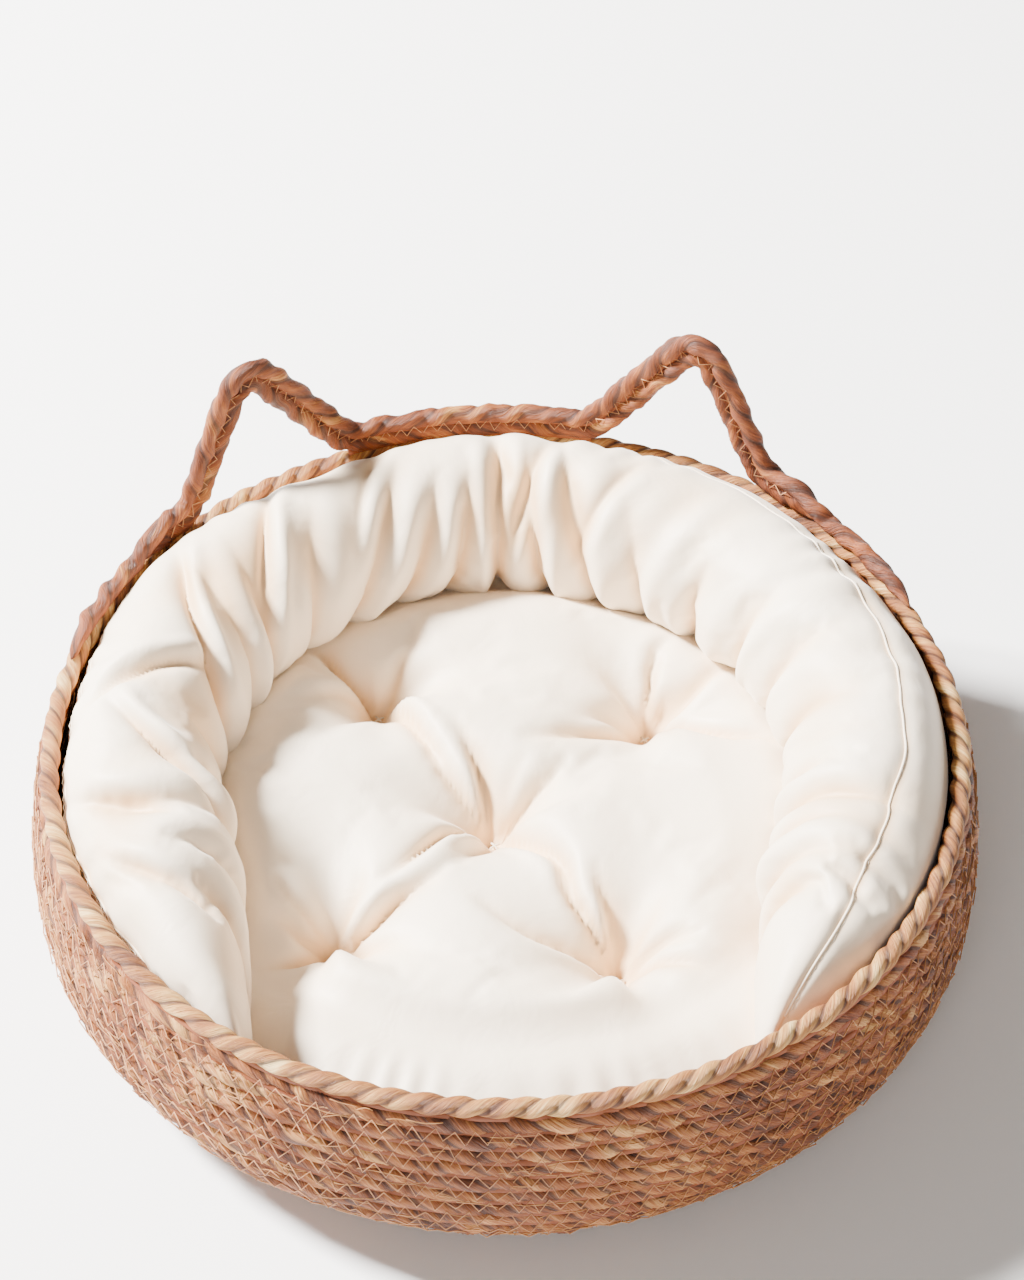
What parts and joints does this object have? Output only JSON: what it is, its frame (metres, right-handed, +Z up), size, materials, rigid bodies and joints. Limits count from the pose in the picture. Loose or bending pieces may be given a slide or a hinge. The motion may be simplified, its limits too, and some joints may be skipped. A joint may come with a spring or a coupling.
{
  "type": "pet bed basket",
  "caption": "Round pet bed basket of coiled plant-fibre cord with a rope rim and two cat-ear loops, a lift-out tufted pad and a lift-out C-shaped bolster.",
  "frame": {"origin": "on the floor, below the centre of the bowl", "axes": "+Z up, +Y towards the side with the ears, +X to the right seen from the front"},
  "size_m": [0.4497, 0.4498, 0.194],
  "materials": {
    "coiled_cord": "matte",
    "rim_cord": "matte",
    "sewing_thread": "matte",
    "wire": "satin",
    "cream_cloth": "matte",
    "cream_thread": "matte",
    "wadding": "matte"
  },
  "bodies": {
    "basket": {"base_coil": "coiled_cord", "wall_coil_01": "coiled_cord", "wall_coil_02": "coiled_cord", "wall_coil_03": "coiled_cord", "wall_coil_04": "coiled_cord", "wall_coil_05": "coiled_cord", "wall_coil_06": "coiled_cord", "wall_coil_07": "coiled_cord", "wall_coil_08": "coiled_cord", "wall_coil_09": "coiled_cord", "wall_coil_10": "coiled_cord", "wall_coil_11": "coiled_cord", "wall_coil_12": "coiled_cord", "wall_coil_13": "coiled_cord", "wall_coil_14": "coiled_cord", "wall_coil_15": "coiled_cord", "wall_coil_16": "coiled_cord", "rim_rope": "rim_cord", "seam_threads": "sewing_thread", "ear_cord_lower": "rim_cord", "ear_cord_upper": "rim_cord", "ear_wire": "wire"},
    "pad": {"pad_bottom_panel": "cream_cloth", "pad_top_panel": "cream_cloth", "pad_filling": "wadding", "tuft_ties": "cream_thread"},
    "bolster": {"bolster_cover": "cream_cloth", "bolster_end_left": "cream_cloth", "bolster_end_right": "cream_cloth", "bolster_filling": "wadding"}
  },
  "joints": [
    {"name": "pad_lift", "type": "slide", "parent": "basket", "child": "pad", "axis": [0, 0, 1], "range_m": [0, 0.2]},
    {"name": "bolster_lift", "type": "slide", "parent": "pad", "child": "bolster", "axis": [0, 0, 1], "range_m": [0, 0.16]}
  ]
}
